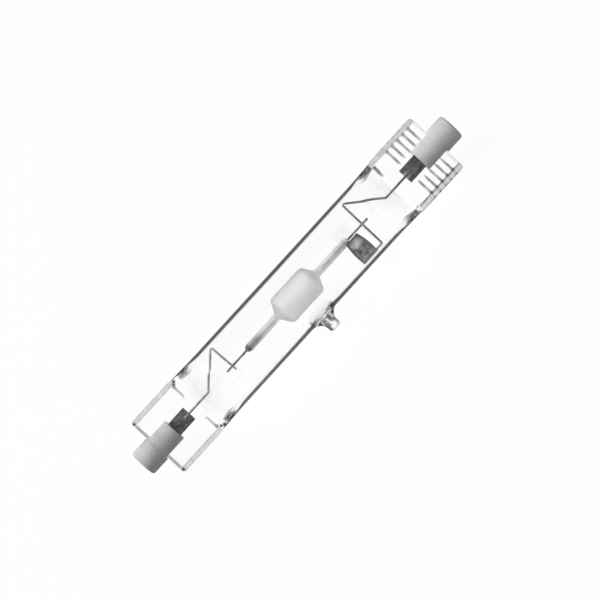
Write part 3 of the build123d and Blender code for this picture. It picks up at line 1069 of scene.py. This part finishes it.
def getterPowder():
    # pressed grey powder, blotched, with a pale patch towards the top and a fainter band below
    finish = Finish("getterPowder", Metallic=0.25)
    place = finish.place
    blotch = place.grain(0.9, 4.0, 0.65)
    fine = place.grain(6.0)
    y = place.axis("Y")
    colour = (blotch * 0.7 + fine * 0.3).between(0.42, 0.58).tint(*getter["powderTone"])
    patchX, patchY = getter["patchAt"]
    besidePatch = (place.axis("X") - patchX) * getter["patchStretch"]
    away = (besidePatch ** 2 + (y - patchY) ** 2) ** 0.5
    patch = (1 - away / getter["patchRadius"]).most(0.0)
    low, middle, high = getter["bandSpan"]
    band = y.between(low, middle) * (1 - y.between(middle, high))
    pale = (patch * 1.2 + band * 0.4) * (0.3 + blotch * 1.2)
    colour = pale.between(0.0, 1.0).tint(colour, getter["paleTone"])
    return finish.feed(Base_Color=colour, Roughness=0.6 + fine * 0.25, Normal=fine.bump(0.7, 0.05))


def getterSheet(name, margin, level, thickness):
    # a plate of the getter's outline, with how far each point is from its edge
    centre = (getterLow[0] + getterHigh[0]) / 2
    piece = newPlate(name, getter["steps"], getter["steps"])
    halfBottom = getter["width"] / 2 - margin
    halfTop = getter["topWidth"] / 2 - margin
    places = []
    for vertex in piece.data.vertices:
        up = (vertex.co.y + 1) / 2
        side = vertex.co.x
        half = halfBottom + (halfTop - halfBottom) * up + getter["bow"] * 4 * up * (1 - up)
        upper = vertex.co.z > 0.5
        y = getter["bottom"] + margin + (getter["height"] - 2 * margin) * up
        toEdge = min(half * (1 - abs(side)), getter["height"] * min(up, 1 - up))
        places.append((upper, toEdge))
        vertex.co = (centre + side * half, y, level + (thickness if upper else 0.0))
    return piece, places


def makeGetter():
    front = getter["back"] + getter["thickness"]
    carrier, places = getterSheet("getter_carrier", 0.0, getter["back"], getter["thickness"])
    for vertex, (upper, toEdge) in zip(carrier.data.vertices, places):
        vertex.co.z += getter["rim"] * (1 - ease(toEdge / getter["rimRun"]))
    bed, places = getterSheet("getter_bed", getter["bedMargin"], front, getter["bedThickness"])
    for vertex, (upper, toEdge) in zip(bed.data.vertices, places):
        if upper:
            lumps = noise.fractal(vertex.co / getter["bedLump"], 0.6, 2.0, 4)
            filled = ease(toEdge / getter["bedRun"])
            vertex.co.z = front + getter["bedThickness"] * filled + getter["bedGrain"] * lumps * filled
    for piece in (carrier, bed):
        faceOutwards(piece)
        softShade(piece, 45)
    seatPiece(carrier, "getter_steel", getterSteel(), "getter_strip")
    seatPiece(bed, "getter_powder", getterPowder(), "getter_powder")


makeGetter()
print("getter done")


# welds where the wires cross
weld = {
    "radius": 0.42 * mm,
    "flat": 0.7,
    "crossing": 28.76 * mm,
    "level": 0.36 * mm,
    "lump": 0.05 * mm,
    "tone": (0.05, 0.2),
}


def makeWelds():
    finish = mottled("weldMetal", (2.5, 3.0), weld["tone"], (0.4, 0.04), (0.4, 0.3), Metallic=0.8)
    for name, place in (("weld_left", -weld["crossing"]), ("weld_right", weld["crossing"])):
        clearSelection()
        bpy.ops.mesh.primitive_uv_sphere_add(segments=24, ring_count=14, radius=weld["radius"])
        piece = newPiece(name)
        for vertex in piece.data.vertices:
            lump = noise.noise(vertex.co / weld["radius"] + Vector((place / mm, 0, 0)))
            vertex.co += vertex.co.normalized() * weld["lump"] * lump
            vertex.co.z *= weld["flat"]
            vertex.co += Vector((place, 0, weld["level"]))
        softShade(piece, 60)
        seatPiece(piece, "niobium", finish)


makeWelds()
print("welds done")


# finishes of the solids that stay; wires by their darkest and lightest tone and their roughness
wires = {
    # the left frame wire gets lighter tones than the right one of the same metal: painted highlight
    "frame_wire_left": (0.09, 0.34, 0.42),
    "frame_wire_right": (0.05, 0.18, 0.42),
    "niobium_lead": (0.04, 0.2, 0.45),
    "outer_lead": (0.1, 0.3, 0.4),
    "lead_mandrel": (0.3, 0.55, 0.4),
    "mandrel_winding": (0.3, 0.55, 0.4),
    "electrode_rod": (0.12, 0.34, 0.35),
    "electrode_coil": (0.12, 0.34, 0.35),
}


def drawnMetal(name, dark, light, roughness):
    # drawn wire: scratches of uneven tone, with patches of oxide
    finish = Finish(name + "Metal", Metallic=0.85)
    scratches = finish.place.grain(7.0, 4.0, 0.7)
    patches = finish.place.grain(0.45)
    colour = (scratches * 0.45 + patches * 0.55).between(0.35, 0.65).tint(dark, light)
    return finish.feed(
        Base_Color=colour, Roughness=roughness - 0.1 + patches * 0.25, Normal=scratches.bump(0.3, 0.02)
    )


alumina = {
    "tone": (0.78, 0.86),
    "depth": 2.0 * mm,  # how far light spreads in it
    "passes": 0.6,  # lamp light that goes through a wall
    "darkFrom": (14.5, 18.5),  # the legs darken towards their ends
    "darkLeft": 0.5,
    "darkRight": 0.7,
    "sealEnd": (20.7, 21.4),  # sealing glass has run over the left end
    "sealTone": 0.03,
    "legsFrom": (9.5, 12.0),  # from here outwards the leads show through
    "body": (0.95, 0.75, 1.6),  # share that is clear, and its roughness and IOR
    "legs": (0.7, 0.4, 1.2),
    "bodyWhite": 0.97,
    "absorbs": 90.0,  # a metre
}


def sinteredAlumina():
    # translucent ceramic, faintly cloudy; the thin legs let their leads show through
    finish = Finish(
        "sinteredAlumina",
        IOR=1.5,
        Specular_IOR_Level=0.3,
        Subsurface_Weight=1.0,
        Subsurface_Scale=alumina["depth"],
        Subsurface_Radius=(1.0, 1.0, 1.0),
    )
    place = finish.place
    cloud = place.grain(0.35, 4.0)
    fine = place.grain(4.5)
    along = place.axis("X")
    colour = (cloud * 0.7 + fine * 0.3).between(0.3, 0.7).tint(*alumina["tone"])
    colour = along.between(*alumina["darkFrom"]).tint(colour, alumina["darkRight"])
    colour = (0 - along).between(*alumina["darkFrom"]).tint(colour, alumina["darkLeft"])
    sealed = (0 - along).between(*alumina["sealEnd"]) * (0.6 + fine * 0.6)
    colour = sealed.tint(colour, alumina["sealTone"])
    finish.feed(Base_Color=colour, Roughness=0.4 + fine * 0.2, Normal=fine.bump(0.2, 0.03))
    parts = []
    for part, tone in (("body", (*grey(alumina["bodyWhite"]), 1)), ("legs", colour)):
        clearShare, roughness, ior = alumina[part]
        sockets = {"Base Color": tone, "Roughness": roughness, "IOR": ior, "Transmission Weight": 1.0}
        clear = finish.node("ShaderNodeBsdfPrincipled", sockets)
        parts.append(finish.mixShader(clearShare, finish, clear))
    solid = finish.mixShader(along.size().between(*alumina["legsFrom"]), *parts)
    inside = {"Color": (0, 0, 0, 1), "Density": alumina["absorbs"]}
    finish.show(finish.node("ShaderNodeVolumeAbsorption", inside), "Volume")
    passing = finish.node("ShaderNodeLightPath", output="Is Shadow Ray") * alumina["passes"]
    return finish.show(finish.mixShader(passing, solid, finish.node("ShaderNodeBsdfTransparent")))


def fritGlass():
    # dark sealing glass at the left, paler at the right
    finish = Finish("fritGlass", Coat_Weight=0.3)
    cloud = finish.place.grain(1.6)
    colour = finish.onRight().tint(cloud.tint(0.012, 0.05), (0.42, 0.415, 0.40))
    return finish.feed(Base_Color=colour, Roughness=0.2 + cloud * 0.25, Normal=cloud.bump(0.3, 0.08))


def capCement():
    tones = ((0.36, 0.35, 0.33), (0.6, 0.59, 0.56))
    return mottled("capCement", (3.0, 5.0, 0.7), tones, (0.8, 0.12), (0.8, 0.15), Specular_IOR_Level=0.2)


def contactNickel():
    # turned disc: fine rings about the lamp's axis
    finish = Finish("contactNickel", Metallic=1.0)
    place = finish.place
    radius = (place.axis("Y") ** 2 + place.axis("Z") ** 2) ** 0.5
    rings = radius.math("SINE", radius * 40.0)
    cloud = place.grain(0.9)
    colour = cloud.between(0.3, 0.7).tint((0.42, 0.41, 0.39), (0.66, 0.65, 0.62))
    return finish.feed(Base_Color=colour, Roughness=0.25 + cloud * 0.25, Normal=rings.bump(0.15, 0.02))


def halideSalt():
    tones = ((0.55, 0.50, 0.38), (0.8, 0.76, 0.62))
    return mottled("halideSalt", (3.0, 4.0), tones, (0.5, 0.08), Roughness=0.5)


def mercuryMetal():
    finish = Finish("mercuryMetal", Metallic=1.0)
    cloud = finish.place.grain(1.2, 2.0)
    colour = cloud.tint((0.66, 0.66, 0.67), (0.74, 0.74, 0.75))
    return finish.feed(Base_Color=colour, Roughness=0.06 + cloud * 0.08)


def dress(name, finish):
    for node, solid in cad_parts.items():
        if node.startswith(name):
            solid.material_slots[0].material = finish


def dressSolids():
    for name, values in wires.items():
        dress(name, drawnMetal(name, *values))
    dress("frit_seal", fritGlass())
    dress("cap_cement", capCement())
    dress("cap_contact", contactNickel())
    dress("arc_tube", sinteredAlumina())
    dress("halide_pellets", halideSalt())
    dress("mercury_bead", mercuryMetal())


dressSolids()
print("finishes done")


# floor, light and camera
studio = {
    "floorSize": 8.0,
    "floorGlow": 0.95,  # how much of the floor that the camera sees is plain white
    "floorBounce": 0.32,
    "floorWhite": 0.9,
    "ambient": 0.12,
    "shine": 0.3,  # what gloss sees above the floor
    "floorShine": 0.15,  # how much of the white floor gloss sees
    "insideLight": 0.4,  # and how much of all the white what lies in the glass is lit by
    "keyLamp": (7.5, 0.7, (-0.45, 0.68, 0.34)),  # power, size, and place in the lamp's own frame
    "fillLamp": (0.4, 0.3, (0.4, -0.05, 0.3)),
}


def whiteRays(start):
    # 1 for rays that should see the white background
    kinds = ("Is Camera Ray", "Is Glossy Ray", "Is Transmission Ray", "Diffuse Depth")
    camera, glossy, through, depth = (start.node("ShaderNodeLightPath", output=kind) for kind in kinds)
    straight = depth.math("LESS_THAN", depth, 0.5)
    inside = straight + (1 - straight) * studio["insideLight"]
    return camera, glossy * straight, through * inside


def makeFloor():
    clearSelection()
    bpy.ops.mesh.primitive_plane_add(size=studio["floorSize"], location=(0, 0, floorLevel))
    floor = newPiece("studio_floor")
    finish = Finish("paperWhite")
    camera, glossy, through = whiteRays(finish)
    seen = camera.most(glossy * studio["floorShine"]).most(through)
    bounce = finish.node("ShaderNodeBsdfDiffuse", {"Color": (*grey(studio["floorBounce"]), 1)})
    white = finish.node("ShaderNodeBsdfDiffuse", {"Color": (*grey(studio["floorWhite"]), 1)})
    glow = finish.node("ShaderNodeEmission", {"Strength": 1.0})
    bright = finish.mixShader(studio["floorGlow"], white, glow)
    floor.data.materials.append(finish.show(finish.mixShader(seen, bounce, bright)))


def makeWorld():
    world = bpy.data.worlds.new("studioWorld")
    bpy.context.scene.world = world
    world.use_nodes = True
    background = world.node_tree.nodes["Background"]
    camera, glossy, through = whiteRays(Field(world.node_tree, background.outputs[0]))
    level = studio["ambient"] + camera.most(through) * (1 - studio["ambient"])
    level = level + glossy * (studio["shine"] - studio["ambient"])
    world.node_tree.links.new(level.socket, background.inputs["Strength"])
    background.inputs["Color"].default_value = (1, 1, 1, 1)


def makeLamp(name):
    power, size, lampFrom = studio[name]
    clearSelection()
    place = lampTurn @ Vector(lampFrom)
    bpy.ops.object.light_add(type="AREA", location=place)
    lamp = bpy.context.active_object
    lamp.name = name
    lamp.data.energy = power
    lamp.data.shape = "DISK"
    lamp.data.size = size
    lamp.rotation_euler = (-place).to_track_quat("-Z", "Y").to_euler()
    lamp.visible_camera = False
    lamp.visible_transmission = False  # its light passes the glass once, as shadow rays


view = {
    "imageSize": 600,
    "frameWidth": 180.0 * mm,  # what the image spans at the lamp
    "lens": 150.0,
    "sensor": 36.0,
    "clipStart": 0.01,
    "lampPixel": (297.2, 295.1),  # the light centre in the image
    "axisRise": 47.6,  # degrees from the image's right
}


def makeCamera():
    distance = view["frameWidth"] * view["lens"] / view["sensor"]
    turn = lampTurn @ Matrix.Rotation(-radians(view["axisRise"]), 3, "Z")
    perPixel = view["frameWidth"] / view["imageSize"]
    right = (view["imageSize"] / 2 - view["lampPixel"][0]) * perPixel
    down = (view["imageSize"] / 2 - view["lampPixel"][1]) * perPixel
    clearSelection()
    bpy.ops.object.camera_add(location=turn @ Vector((right, -down, distance)), rotation=turn.to_euler())
    camera = bpy.context.active_object
    camera.data.lens = view["lens"]
    camera.data.sensor_width = view["sensor"]
    camera.data.clip_start = view["clipStart"]
    bpy.context.scene.camera = camera


makeFloor()
makeWorld()
makeLamp("keyLamp")
makeLamp("fillLamp")
makeCamera()
bpy.context.scene.view_settings.view_transform = "Standard"
print("studio done")
